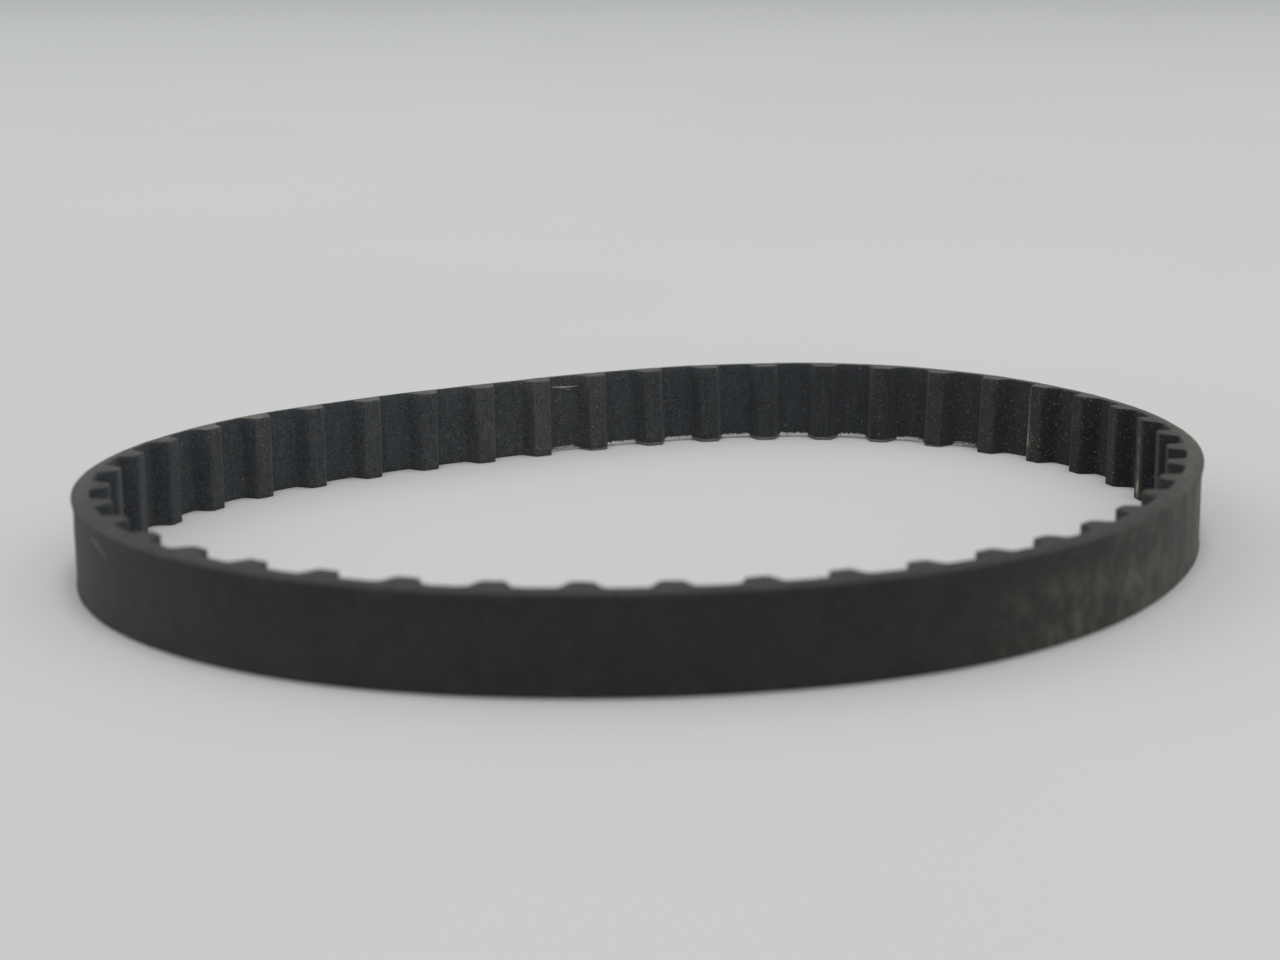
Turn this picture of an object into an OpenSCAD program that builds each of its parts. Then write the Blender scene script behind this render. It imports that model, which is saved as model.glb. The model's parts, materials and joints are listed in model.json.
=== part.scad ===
// Timing belt: an endless trapezoidal-tooth synchronous belt lying on its cut
// edge, teeth on the inside, sprung into the slightly egg-shaped loop that it
// takes when nothing holds it.
//
// The rubber is divided at the middle of every land into one link per tooth,
// and each link turns about the pitch line of the joint between them, so the
// loop can flex. The two tensile cords and the tooth facing run through all
// the links without a break.
//
// +Z is up, along the belt's width. The origin is the centre of the loop's
// outline on the plane it rests on. Lengths are in millimetres.

/* [Teeth] */
// Number of teeth round the loop, one link each
teeth = 45; // [36:1:57]
// Pitch: distance from tooth to tooth along the cords
pitch = 5.08; // [4.9:0.01:5.3]
// Height of a tooth above the land
tooth_height = 1.27; // [1.1:0.01:1.4]
// Width of a tooth at its root
root_width = 2.57; // [2.4:0.01:2.7]
// Angle of a tooth's flank from square
flank_angle = 25; // [20:1:27]
// Radius of the tooth's tip corners
tip_radius = 0.38; // [0.3:0.01:0.42]
// Radius of the fillets at the tooth's root
root_radius = 0.38; // [0.3:0.01:0.42]

/* [Belt section] */
// Width of the belt
belt_width = 6.1; // [5:0.1:13]
// Thickness of the belt behind the teeth, from the land to the back
backing = 1.03; // [0.9:0.01:1.3]
// Depth of the land below the middle of the cords, the pitch line
land_depth = 0.254; // [0.254:0.001:0.3]
// Thickness of the cloth facing on the teeth and lands
facing = 0.1; // [0.07:0.01:0.1]

/* [Tensile cords] */
// Diameter of each cord
cord_diameter = 0.28; // [0.2:0.01:0.3]
// Distance from one strand of the winding to the next
cord_spacing = 0.7; // [0.62:0.01:1]
// Rubber left outside the winding at each cut edge
edge_rubber = 0.35; // [0.25:0.05:0.6]

/* [Shape of the free loop] */
// Heading of the belt at tooth 1, from +X, in degrees
first_heading = 78.12; // [0:0.1:359]
// Oval term: largest turn that it adds to the heading, in degrees
oval_turn = 9.1; // [0:0.01:12]
// Oval term: tooth where it adds the most
oval_tooth = 11.92; // [1:0.01:45]
// Egg term: largest turn that it adds to the heading, in degrees
egg_turn = 4.95; // [0:0.01:6]
// Egg term: tooth where it adds the most
egg_tooth = 10.76; // [1:0.01:45]
// Squaring term: largest turn that it adds to the heading, in degrees
square_turn = 1.29; // [0:0.01:2]
// Squaring term: tooth where it adds the most
square_tooth = 10.66; // [1:0.01:45]
// Ripple term: largest turn that it adds to the heading, in degrees
ripple_turn = 1.57; // [0:0.01:2]
// Ripple term: tooth where it adds the most
ripple_tooth = 8.98; // [1:0.01:45]

/* [Joints between links] */
// Gap between two links at the pitch line
joint_gap = 0.06; // [0.04:0.01:0.1]
// Bend each way from rest that a joint has room for, in degrees
joint_relief = 9; // [4:1:12]

/* [Hidden] */
function link_name(i) = str("link_", i < 10 ? "0" : "", i);

rubber = [0.16, 0.16, 0.165];
cord_white = [0.86, 0.85, 0.78];
nylon = [0.22, 0.22, 0.22];

arc_steps = 3;       // segments in each tip corner and root fillet
cord_sides = 6;      // sides of a cord's section
closing_steps = 40;  // iterations that close the loop
slot_outer_play = 0.04;  // room in the slot outside the cords
slot_inner_play = 0.06;  // room in the slot inside the cords
slot_end_play = 0.06;    // room between the winding and each end of the slot

function backwards(list) = [for (k = [len(list) - 1:-1:0]) list[k]];
function total(list, k = 0) = k == len(list) ? [0, 0] : list[k] + total(list, k + 1);

// ---- shape of the loop ----------------------------------------------------
// Heading of link i: a full clockwise turn, plus the four shape terms, plus
// a first-order term [cosine part, sine part] that makes the chain close.
function wave(turn, order, tooth, i) = turn * cos(360 * order * (i - tooth) / teeth);
function free_heading(i) =
    first_heading - 360 * (i - 1) / teeth
    + wave(oval_turn, 2, oval_tooth, i)
    + wave(egg_turn, 3, egg_tooth, i)
    + wave(square_turn, 4, square_tooth, i)
    + wave(ripple_turn, 5, ripple_tooth, i);
function closed_heading(i, term) = let (round_loop = 360 * (i - 1) / teeth)
    free_heading(i) + term[0] * cos(round_loop) + term[1] * sin(round_loop);

// Refines the term from the gap left between the two ends of the chain
function closing_term(term, steps_left) = steps_left == 0 ? term : let (
        steps = [for (i = [1:teeth]) let (turned = closed_heading(i, term) - first_heading)
            [cos(turned), sin(turned)]],
        miss = total(steps) / teeth)
    closing_term(term - 360 / PI * [miss[1], miss[0]], steps_left - 1);

final_term = closing_term([0, 0], closing_steps);
headings = [for (i = [1:teeth]) closed_heading(i, final_term)];

function wrap(i) = (i + teeth - 1) % teeth + 1;
function heading(i) = headings[wrap(i) - 1] - (i > teeth ? 360 : i < 1 ? -360 : 0);
// Bend of the joint between link i and link i + 1
function bend(i) = heading(i) - heading(i + 1);

// Joint on the pitch line at the start of each link, from link 1 at [0, 0]
function chain(i, at) = i > teeth ? [] :
    concat([at], chain(i + 1, at + pitch * [cos(heading(i)), sin(heading(i))]));
joints = chain(1, [0, 0]);

// Pitch line inside link i: a cubic from joint to joint that leaves each joint
// along the bisector. u runs from 0 to 1 along the link's chord.
function start_slope(i) = tan(bend(i - 1) / 2);
function end_slope(i) = -tan(bend(i) / 2);
function rise(i, u) = pitch * ((u * u * u - 2 * u * u + u) * start_slope(i)
                               + (u * u * u - u * u) * end_slope(i));
function tilt(i, u) = atan((3 * u * u - 4 * u + 1) * start_slope(i)
                           + (3 * u * u - 2 * u) * end_slope(i));

// Point of link i at x along its chord, from -pitch/2 to pitch/2, and `depth`
// below the pitch line (towards the inside of the loop), then `along` further
// in the direction of the pitch line there.
function on_link(i, x, depth, along = 0) = let (
        u = x / pitch + 0.5,
        chord = heading(i),
        local = chord + tilt(i, u))
    joints[i - 1]
    + pitch * u * [cos(chord), sin(chord)]
    + rise(i, u) * [-sin(chord), cos(chord)]
    + depth * [sin(local), -cos(local)]
    + along * [cos(local), sin(local)];

// ---- tooth section --------------------------------------------------------
// Half widths of the tooth where the straight flanks meet its root and its tip
half_root = root_width / 2;
half_tip = half_root - tooth_height * tan(flank_angle);
// x of the centres of the tip corner and of the root fillet; the fillet meets
// the land at fillet_x
corner_x = half_tip + tip_radius * tan(flank_angle) - tip_radius / cos(flank_angle);
fillet_x = half_root - root_radius * tan(flank_angle) + root_radius / cos(flank_angle);

function arc(centre, radius, from, to) = [for (k = [0:arc_steps])
    let (a = from + k * (to - from) / arc_steps) centre + radius * [cos(a), sin(a)]];

// Half profile from the tip to the land, as [x, depth], `skin` inside the
// belt's surface: 0 for the facing's exposed surface, `facing` for the rubber.
function tooth_half(skin) = concat(
    arc([corner_x, land_depth + tooth_height - tip_radius], tip_radius - skin,
        90, flank_angle),
    arc([fillet_x, land_depth + root_radius], root_radius + skin,
        180 + flank_angle, 270));
function tooth_on_link(i, skin) = let (
        half = tooth_half(skin),
        mirrored = [for (p = backwards(half)) [-p[0], p[1]]])
    [for (p = concat(mirrored, half)) on_link(i, p[0], p[1])];

// ---- link outline ---------------------------------------------------------
back_depth = land_depth - backing;
rubber_land_depth = land_depth - facing;

// Each end face stands back from its joint by half the gap, which widens away
// from the pitch line to give the joint its relief.
function half_gap(depth) = joint_gap / 2 + abs(depth) * tan(joint_relief / 2);
function start_face(i, depth) = on_link(i, -pitch / 2, depth, half_gap(depth));
function end_face(i, depth) = on_link(i, pitch / 2, depth, -half_gap(depth));

function link_back(i) = concat(
    [start_face(i, back_depth)],
    [for (x = [-fillet_x, 0, fillet_x]) on_link(i, x, back_depth)],
    [end_face(i, back_depth)]);
function link_outline(i) = concat(
    [start_face(i, rubber_land_depth)],
    tooth_on_link(i, facing),
    [end_face(i, rubber_land_depth), end_face(i, 0)],
    backwards(link_back(i)),
    [start_face(i, 0)]);

// Middle of the loop's outline, which is moved to the origin
back_points = [for (i = [1:teeth]) each link_back(i)];
middle = [for (axis = [0, 1]) let (places = [for (p = back_points) p[axis]])
    (min(places) + max(places)) / 2];
module centred() {
    translate([-middle[0], -middle[1], 0]) children();
}

// ---- tensile cords --------------------------------------------------------
cord_radius = cord_diameter / 2;
slot_outer_depth = -cord_radius - slot_outer_play;
slot_inner_depth = cord_radius + slot_inner_play;

// Three sections a link, at the joint and at both ends of the tooth's root
cord_x = [-pitch / 2, -fillet_x, fillet_x];
slot_x = concat(cord_x, [pitch / 2]);
turn_sections = len(cord_x) * teeth;

// Two cords are wound side by side, so each climbs two spacings a turn
lead = 2 * cord_spacing;
cord_start_z = edge_rubber + cord_radius + slot_end_play;
winding_height = belt_width - 2 * cord_start_z - cord_spacing;
last_section = floor(winding_height / lead * turn_sections);

function cord_section(n, start_z) = let (
        i = wrap(floor(n / len(cord_x)) + 1),
        x = cord_x[n % len(cord_x)],
        z = start_z + lead * n / turn_sections)
    [for (k = [0:cord_sides - 1]) let (
            a = 360 * (k + 0.5) / cord_sides,
            p = on_link(i, x, cord_radius * sin(a)) - middle)
        [p[0], p[1], z + cord_radius * cos(a)]];

module cord(start_z) {
    points = [for (n = [0:last_section]) each cord_section(n, start_z)];
    sides = [for (n = [0:last_section - 1], k = [0:cord_sides - 1]) let (
            next = (k + 1) % cord_sides,
            this_ring = n * cord_sides,
            next_ring = this_ring + cord_sides)
        [this_ring + k, this_ring + next, next_ring + next, next_ring + k]];
    start_cap = [for (k = [cord_sides - 1:-1:0]) k];
    end_cap = [for (k = [0:cord_sides - 1]) last_section * cord_sides + k];
    polyhedron(points, concat(sides, [start_cap, end_cap]), convexity = 10);
}

// ---- parts ----------------------------------------------------------------
// Rubber of one tooth and the backing behind it. The cords run through the
// slot, which opens onto the cloth facing at the lands.
module link(i) {
    color(rubber) centred() difference() {
        linear_extrude(belt_width) polygon(link_outline(i));
        translate([0, 0, edge_rubber]) linear_extrude(belt_width - 2 * edge_rubber)
            polygon(concat(
                [for (x = slot_x) on_link(i, x, slot_inner_depth)],
                [for (x = backwards(slot_x)) on_link(i, x, slot_outer_depth)]));
    }
}

// Cord wound with an S twist, from the lower edge to the upper
module tensile_cord_s() {
    color(cord_white) cord(cord_start_z);
}

// Cord wound with a Z twist, half a lead above the other
module tensile_cord_z() {
    color(cord_white) cord(cord_start_z + cord_spacing);
}

// Woven cloth over every tooth and land, as one closed ring
function facing_ring(skin) = [for (i = [1:teeth]) each concat(
    [on_link(i, -pitch / 2, land_depth - skin)], tooth_on_link(i, skin))];
module tooth_facing() {
    color(nylon) centred() linear_extrude(belt_width) difference() {
        polygon(facing_ring(facing));
        polygon(facing_ring(0));
    }
}

for (i = [1:teeth]) {
    link(i);
}
tensile_cord_s();
tensile_cord_z();
tooth_facing();
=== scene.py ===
"""Timing belt: an endless toothed belt of 45 teeth, standing on its edge.

The loop lies in the XY plane and runs clockwise seen from above, and the belt's width runs up Z from 0.
Depth is measured from the pitch line inwards: the smooth back lies at a negative depth on the outside of
the loop, and the teeth point into the loop.

Each pitch of the belt, from the middle of one tooth to the middle of the next, is one piece per layer:
rubber, cloth facing and the two tensile cords. A piece is shaped over its land to follow the two links
that meet there. Lengths are in millimetres until a mesh is made, and angles in radians unless named otherwise.
"""

import json
import math
from functools import cached_property, reduce

import bpy
import numpy as np
from mathutils import Matrix, Vector, noise

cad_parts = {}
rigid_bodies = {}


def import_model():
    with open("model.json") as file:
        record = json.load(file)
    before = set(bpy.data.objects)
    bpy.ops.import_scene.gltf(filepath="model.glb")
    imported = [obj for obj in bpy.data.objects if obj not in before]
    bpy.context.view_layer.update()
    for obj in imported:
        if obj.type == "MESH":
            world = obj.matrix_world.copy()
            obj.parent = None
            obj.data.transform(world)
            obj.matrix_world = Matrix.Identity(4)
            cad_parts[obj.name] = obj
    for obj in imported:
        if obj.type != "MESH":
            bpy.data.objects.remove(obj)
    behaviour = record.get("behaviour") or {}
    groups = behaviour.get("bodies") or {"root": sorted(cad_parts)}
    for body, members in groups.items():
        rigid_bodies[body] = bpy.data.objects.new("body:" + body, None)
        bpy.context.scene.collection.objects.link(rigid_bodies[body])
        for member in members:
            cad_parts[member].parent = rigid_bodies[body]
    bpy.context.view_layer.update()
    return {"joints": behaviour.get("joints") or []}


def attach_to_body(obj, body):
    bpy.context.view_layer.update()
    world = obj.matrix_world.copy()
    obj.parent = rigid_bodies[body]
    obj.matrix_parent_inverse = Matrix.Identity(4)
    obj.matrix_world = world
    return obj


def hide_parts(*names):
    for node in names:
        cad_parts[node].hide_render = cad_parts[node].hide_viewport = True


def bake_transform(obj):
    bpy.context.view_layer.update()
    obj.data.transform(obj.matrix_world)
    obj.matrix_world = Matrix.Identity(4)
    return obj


for old in list(bpy.data.objects):
    bpy.data.objects.remove(old)
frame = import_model()
MM = 0.001
TURN = 2 * math.pi

# ---------------------------------------------------------------- dimensions
TEETH, PITCH, TOOTH_H, ROOT_W = 45, 5.08, 1.27, 2.57
FLANK = math.radians(25)
TIP_R = ROOT_R = 0.38
WIDTH, BACKING, PITCH_LINE, FACING = 6.1, 1.03, 0.254, 0.1
CORD_D, CORD_SPACE, EDGE_RUBBER = 0.28, 0.7, 0.35
BACK_DEPTH = PITCH_LINE - BACKING
TIP_DEPTH = PITCH_LINE + TOOTH_H
RING_R = TEETH * PITCH / TURN

# centres of the tip and root roundings, measured from the middle of the tooth
TIP_X = ROOT_W / 2 - TOOTH_H * math.tan(FLANK) + TIP_R * math.tan(FLANK) - TIP_R / math.cos(FLANK)
ROOT_X = ROOT_W / 2 - ROOT_R * math.tan(FLANK) + ROOT_R / math.cos(FLANK)
TIP_STEPS, ROOT_STEPS, LAND_STEPS = 7, 8, 12

# shape of the loop at rest
FIRST_HEADING = 78.12  # degrees
HEADING_WAVES = ((9.1, 2, 11.92), (4.95, 3, 10.76), (1.29, 4, 10.66), (1.57, 5, 8.98))  # degrees, order, link
OPEN_AFTER = 24  # the loop is opened between this link and the next
OPEN_GAP = 0.006  # keeps the opened loop's two sides from touching
CORD_OPEN_GAP = 0.0015  # the same for the cords, in pitches


# ---------------------------------------------------------------- the loop at rest
def solve_loop():
    """Heading of each link and the places of the joints, with two terms added that close the loop."""
    number = np.arange(1, TEETH + 1)
    phase = TURN * (number - 1) / TEETH
    free = FIRST_HEADING - 360 * (number - 1) / TEETH
    for swing, order, at in HEADING_WAVES:
        free = free + swing * np.cos(np.radians(360 * order * (number - at) / TEETH))
    cos_part = sin_part = 0.0
    for _ in range(40):
        heading = free + cos_part * np.cos(phase) + sin_part * np.sin(phase)
        miss = np.exp(1j * np.radians(heading - FIRST_HEADING)).mean()
        cos_part -= 360 / math.pi * miss.imag
        sin_part -= 360 / math.pi * miss.real
    heading = np.radians(free + cos_part * np.cos(phase) + sin_part * np.sin(phase))
    joints = np.concatenate([[0], np.cumsum(PITCH * np.exp(1j * heading))])
    return heading, np.stack([joints.real, joints.imag], 1)


HEADINGS, JOINTS = solve_loop()


def gap_at(joint):
    """From a solved joint to the same joint in the frame."""
    first, second = (int(joint[end][5:]) for end in ("parent", "child"))
    number = min(first, second) if abs(first - second) == 1 else TEETH
    return np.array(joint["pos_m"][:2]) / MM - JOINTS[number % TEETH]


gaps = np.array([gap_at(joint) for joint in frame["joints"]])
OFFSET = gaps.mean(axis=0)
if np.linalg.norm(gaps - OFFSET, axis=1).max() > 0.02:
    raise SystemExit("the solved loop doesn't match the frame's joints")


def heading_of(link):
    """Heading of each link, counted on past the last one."""
    return HEADINGS[(link - 1) % TEETH] - TURN * ((link - 1) // TEETH)


def on_link(link, x, depth):
    """Points of the belt and their outward normals. x runs along the link from its middle."""
    share = x / PITCH + 0.5
    heading = heading_of(link)
    start_slope = np.tan((heading_of(link - 1) - heading) / 2)
    end_slope = -np.tan((heading - heading_of(link + 1)) / 2)
    rise = PITCH * (
        (share**3 - 2 * share * share + share) * start_slope + (share**3 - share * share) * end_slope
    )
    slope = (3 * share * share - 4 * share + 1) * start_slope + (3 * share * share - 2 * share) * end_slope
    tangent = heading + np.arctan(slope)
    forward = np.stack([np.cos(heading), np.sin(heading)], -1)
    left = np.stack([-np.sin(heading), np.cos(heading)], -1)
    normal = np.stack([-np.sin(tangent), np.cos(tangent)], -1)
    middle = JOINTS[(link - 1) % TEETH] + (PITCH * share)[:, None] * forward + rise[:, None] * left
    return middle - np.reshape(depth, (-1, 1)) * normal + OFFSET, normal


def locate(place):
    """Link and x at each place, in pitches round the belt with the joints at whole numbers."""
    link = np.floor(place + 1e-9).astype(int) + 1
    return link, (place - (link - 1) - 0.5) * PITCH


# ---------------------------------------------------------------- profile of the tooth side
def half_profile(skin):
    """[x, depth] from the middle of a tooth's tip to the middle of the land, skin inside the surface."""
    points = [(TIP_X * share, TIP_DEPTH - skin) for share in (0, 0.25, 0.5, 0.75)]
    radius = TIP_R - skin
    for angle in np.linspace(math.pi / 2, FLANK, TIP_STEPS + 1):
        points.append((TIP_X + radius * math.cos(angle), TIP_DEPTH - TIP_R + radius * math.sin(angle)))
    radius = ROOT_R + skin
    root = [
        (ROOT_X - radius * math.cos(angle), PITCH_LINE + ROOT_R - radius * math.sin(angle))
        for angle in np.linspace(FLANK, math.pi / 2, ROOT_STEPS + 1)
    ]
    (x, depth), (root_x, root_depth) = points[-1], root[0]
    points += [(x + (root_x - x) * f, depth + (root_depth - depth) * f) for f in (1 / 3, 2 / 3)]
    points += root
    points += [(x, PITCH_LINE - skin) for x in np.linspace(ROOT_X, PITCH / 2, LAND_STEPS + 1)[1:]]
    return np.array(points)


HALF = half_profile(0)
HALF_COUNT = len(HALF)
STATION_COUNT = 2 * HALF_COUNT - 1
CONTOUR = np.concatenate([[0], np.cumsum(np.hypot(*np.diff(HALF, axis=0).T))])
CONTOUR_PITCH = 2 * CONTOUR[-1]
# at each station, from the middle of the piece's first tooth: along the surface, and along the belt
ARC = np.concatenate([CONTOUR, CONTOUR_PITCH - CONTOUR[::-1][1:]])
PIECE_X = np.concatenate([HALF[:, 0], PITCH - HALF[::-1][1:, 0]])


def stations(piece, skin):
    """Link, x and depth at each station of a piece, skin inside the tooth side."""
    half = half_profile(skin)
    x = np.concatenate([half[:, 0], -half[::-1][1:, 0]])
    depth = np.concatenate([half[:, 1], half[::-1][1:, 1]])
    link = np.repeat([piece, piece + 1], [HALF_COUNT, HALF_COUNT - 1])
    if piece == OPEN_AFTER:
        x[-1] -= OPEN_GAP
    return link, x, depth


def along_of(piece):
    """Millimetres round the belt from the middle of tooth 1 at each station of a piece."""
    return (piece - 1) * PITCH + PIECE_X


def tooth_side(along, out):
    """Link, x and depth of places round the belt, out millimetres clear of the tooth side."""
    link, x = locate(along / PITCH + 0.5)
    return link, x, np.interp(np.abs(x), HALF[:, 0], HALF[:, 1]) + out


def ring_place(along, depth, z):
    """The belt bent to a true circle: patterns are read here, so they run on round the loop."""
    angle = along / RING_R
    radius = RING_R - depth
    return np.stack([radius * np.cos(angle), radius * np.sin(angle), z], -1)


# ---------------------------------------------------------------- noise, steps and tables by tooth
def value_noise(points, scale, seed):
    """Smooth noise from -1 to 1 at each point."""
    shift = Vector((seed * 7.31, seed * 3.17, seed * 5.71))
    return np.array([noise.noise(Vector(p) * scale + shift) for p in points])


def line_noise(along, scale, seed):
    return value_noise(np.stack([along, 0 * along, 0 * along], -1), scale, seed)


def noise_at(along, y, z, scale, shift=(0, 0, 0)):
    """Noise along a line at a given y and z."""
    return np.array([noise.noise(Vector((a, y, z)) * scale + Vector(shift)) for a in along])


def smooth(start, end, x):
    share = np.clip((x - start) / (end - start), 0, 1)
    return share * share * (3 - 2 * share)


def within(x, start, full, fade, end):
    """1 from full to fade, easing to 0 at start and end."""
    return smooth(start, full, x) * (1 - smooth(fade, end, x))


def humps(x, *shapes):
    """Sum of bell curves, each (height, centre, width)."""
    return sum(height * np.exp(-(((x - centre) / width) ** 2)) for height, centre, width in shapes)


def tooth_at(along):
    """Tooth number, counted on past the last tooth. Whole numbers are tooth middles."""
    return along / PITCH + 1


def tooth_round(along):
    """Tooth number, starting again after the last tooth."""
    return (along / PITCH) % TEETH + 1


def by_tooth(table, along):
    """Value of a (tooth, value) table round the belt."""
    teeth, values = np.array(table).T
    return np.interp(tooth_round(along), teeth, values)


# (tooth, mm): how far the outer side of the upper cut slopes down
SLOPE = (
    (0, 0.36), (2, 0.38), (4, 0.34), (6, 0.27), (8, 0.17), (10, 0.15), (12, 0.14), (14, 0.09), (16, 0.14),
    (18, 0.2), (20, 0.25), (23, 0.27), (27, 0.22), (33, 0.12), (38, 0.15), (42, 0.25), (46, 0.36),
)
# (tooth, mm): how far the foot of the belt stands in from the top
LEAN = (
    (0, 0.0), (6, 0.0), (8, 0.25), (9, 0.35), (10, 0.6), (12, 0.75), (14, 0.65), (15, 0.5), (17, 0.3),
    (20, 0.0), (46, 0.0),
)
# (tooth, mm): how far the top of a tooth's tip stands above its root
CREST = ((0, 0.0), (13, 0.0), (16, 0.06), (17, 0.12), (20, 0.12), (22, 0.0), (46, 0.0))
# (tooth, factor): brightness of the cloth, the back and the cut edges. The cloth's factors are partly painted
# light and shade: lighter at teeth 2 to 8, and darker from tooth 12 to tooth 26 as painted shade, most inside
# the bend at teeth 17 to 22.
CLOTH_TONE_AND_PAINTED_SHADE = (
    (0, 1.05), (2, 1.08), (3, 1.12), (7, 1.12), (8.5, 0.98), (10, 0.97), (12, 0.83), (14, 0.66), (16, 0.54),
    (17.5, 0.36), (19, 0.33), (22, 0.38), (26, 0.75), (36, 0.85), (44, 1.0), (46, 1.05),
)
# the back's factors are partly painted shade: the outer face is darker along teeth 29 to 35, and the lighter
# stretch at teeth 20 to 26 goes with its dust
BACK_TONE_AND_PAINTED_SHADE = (
    (0, 1.0), (20, 1.15), (24, 1.15), (26, 1.1), (27.5, 1.04), (29.5, 0.84), (32, 0.76), (34.5, 0.8),
    (36, 0.92), (38, 1.0), (46, 1.0),
)
CUT_SHADE = (
    (0, 1.0), (1, 1.1), (2.5, 1.75), (5, 1.6), (8, 1.25), (12, 1.1), (18, 1.0), (20, 0.6), (22, 0.52),
    (24, 0.52), (26, 0.48), (27, 0.44), (30, 0.44), (34, 0.5), (37, 0.48), (39, 0.55), (41, 0.58),
    (42.5, 0.74), (44, 1.05), (45, 1.1), (46, 1.0),
)
# (tooth, factor): further brightness of the cut edges on the teeth
TOOTH_CUT_SHADE = (
    (0, 1.0), (1, 1.0), (18, 1.0), (20, 0.5), (25, 0.5), (27, 0.62), (38, 0.66), (42, 0.6), (44, 0.55),
    (46, 1.0),
)
# (tooth, tip wear, corner wear): teeth rubbed more than the rest
WORN_TEETH = (
    (15, 0.3, 0.4), (16, 0.4, 0.5), (8, 0.28, 0.3), (9, 0.12, 0.2), (17, 0.2, 0.4), (19, 0.15, 0.2),
    (20, 0.2, 0.5), (3, 0.15, 0.2), (5, 0.12, 0.2), (7, 0.12, 0.25),
)


# ---------------------------------------------------------------- unevenness of the whole belt
def settle(xy, normal, z, along, depth):
    """Small unevenness, the same for every layer, so that layers stay bonded: the run waves and leans,
    the cut edges aren't dead flat, and the outer upper edge is dragged down and out."""
    ring = ring_place(along, np.zeros_like(depth), z)
    wave = 0.05 * value_noise(ring, 0.11, 1) + 0.012 * value_noise(ring, 0.9, 2)
    edge = ring_place(along, depth, np.zeros_like(z))
    top = 0.03 * value_noise(edge, 0.16, 3) + 0.012 * value_noise(edge, 1.6, 4) - 0.02
    foot = 0.02 * np.abs(value_noise(edge, 0.2, 5)) + 0.006 * np.abs(value_noise(edge, 2.4, 6))
    height = np.clip(z / WIDTH, 0, 1)
    outer = np.clip((PITCH_LINE - FACING - depth) / (PITCH_LINE - FACING - BACK_DEPTH), 0, 1)
    above_tip = np.clip((TIP_DEPTH - depth) / TOOTH_H, 0, 1)  # 0 at a tooth's tip, 1 from the root outwards
    flare = outer * (0.13 * smooth(WIDTH - 0.9, WIDTH, z) + 0.05 * (1 - smooth(0, 0.5, z)))
    drag = by_tooth(SLOPE, along) * outer**1.6 + by_tooth(CREST, along) * above_tip
    drag = drag * smooth(WIDTH - 1.6, WIDTH, z)
    lean = by_tooth(LEAN, along) * (1 - height)
    out = np.empty((len(z), 3))
    out[:, :2] = xy + normal * (wave + flare - lean)[:, None]
    out[:, 2] = z + top * height**3 + foot * (1 - height) ** 3 - drag
    return out


def torn(along):
    """Where the lower edge is torn: fully from tooth 10 to tooth 13, easing off to either side."""
    return within(tooth_at(along), 7.2, 10.0, 13.4, 16.4)


def on_land(along):
    tooth = tooth_at(along)
    return smooth(1.15, 1.5, np.abs((tooth - np.round(tooth)) * PITCH))


def rag(along):
    """How far the cloth's lower edge is frayed up from the cut."""
    coarse = noise_at(along, y=0.0, z=3.7, scale=1.7)
    fine = noise_at(along, y=0.0, z=3.7, scale=4.6, shift=(9, 4, 1))
    hair = noise_at(along, y=0.0, z=3.7, scale=11.0, shift=(2, 8, 5))
    land = on_land(along) * (0.17 + 0.1 * coarse - 0.2 * np.abs(fine) + 0.16 * hair)
    return torn(along) * np.clip(0.17 + 0.015 * fine + land, 0.1, 0.5)


def lip_height(along):
    fine = noise_at(along, y=5.0, z=1.3, scale=3.1)
    return torn(along) * (0.12 + 0.15 * (1 - on_land(along)) + 0.02 * fine)


# ---------------------------------------------------------------- wear, dust and pale marks
def cut_shade(along, depth):
    on_tooth = (by_tooth(TOOTH_CUT_SHADE, along) - 1) * smooth(0.2, 0.5, depth)
    return by_tooth(CUT_SHADE, along) * (1 + on_tooth)


def facing_mask(along, z):
    """Wear, dust and pale marks at each station of the tooth side."""
    tooth = tooth_at(along)
    near = np.round(tooth)
    off = (tooth - near) * PITCH
    arc = np.minimum(ARC, CONTOUR_PITCH - ARC)
    on_tip = 1 - smooth(0.62, 0.8, arc)
    corner = humps(arc, (1, 0.72, 0.13))
    wear = (0.16 * corner + 0.06 * on_tip) * (1 - 0.85 * within(tooth, 10, 13, 22, 24))
    for number, tip_wear, corner_wear in WORN_TEETH:
        wear = wear + (near % TEETH == number) * (tip_wear * on_tip + corner_wear * corner)
    dust = 0.12 + humps(tooth, (0.6, 8.0, 1.9), (0.75, 17.4, 2.6), (0.2, 3.0, 2.0)) + humps(z, (0.25, 0.0, 0.6))
    # a line down the tip corner of tooth 17 that faces tooth 16
    line = humps(arc, (1, 0.70, 0.11)) * (0.42 + humps(z, (0.58, 1.9, 1.8)))
    line = line + humps(arc, (0.3, 0.5, 0.2)) * humps(z, (1, 1.6, 1.4))
    pale = ((near == 17) & (off < 0)) * line * (1 - smooth(5.6, 6.0, z))
    # marks down the middle of tooth 20's tip, strongest near the foot
    chafed = near == 20
    wear = wear + chafed * on_tip * 0.3 * smooth(2.6, 4.0, z)
    marks = humps(z, (0.85, 1.0, 0.7), (0.3, 3.1, 0.6), (0.2, 4.4, 0.4))
    pale = pale + chafed * humps(off, (1, 0.05, 0.25)) * marks
    return np.clip(np.stack([wear, dust, pale], -1), 0, 1)


def back_mask(along, z):
    tooth = tooth_round(along)
    dust = 0.04 + humps(
        tooth, (0.74, 23.2, 2.2), (0.3, 26.2, 1.3), (0.66, 21.0, 2.0), (0.12, 44.0, 2.0), (0.12, 0.8, 2.0)
    )
    dust = dust + humps(tooth, (0.6, 27.6, 1.5)) * (1 - smooth(2.5, 5.2, z))
    dust = dust + humps(z, (0.10, WIDTH, 0.5), (0.08, 0, 0.4))
    return np.stack([0 * along, np.clip(dust, 0, 1), 0 * along], -1)


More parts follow.
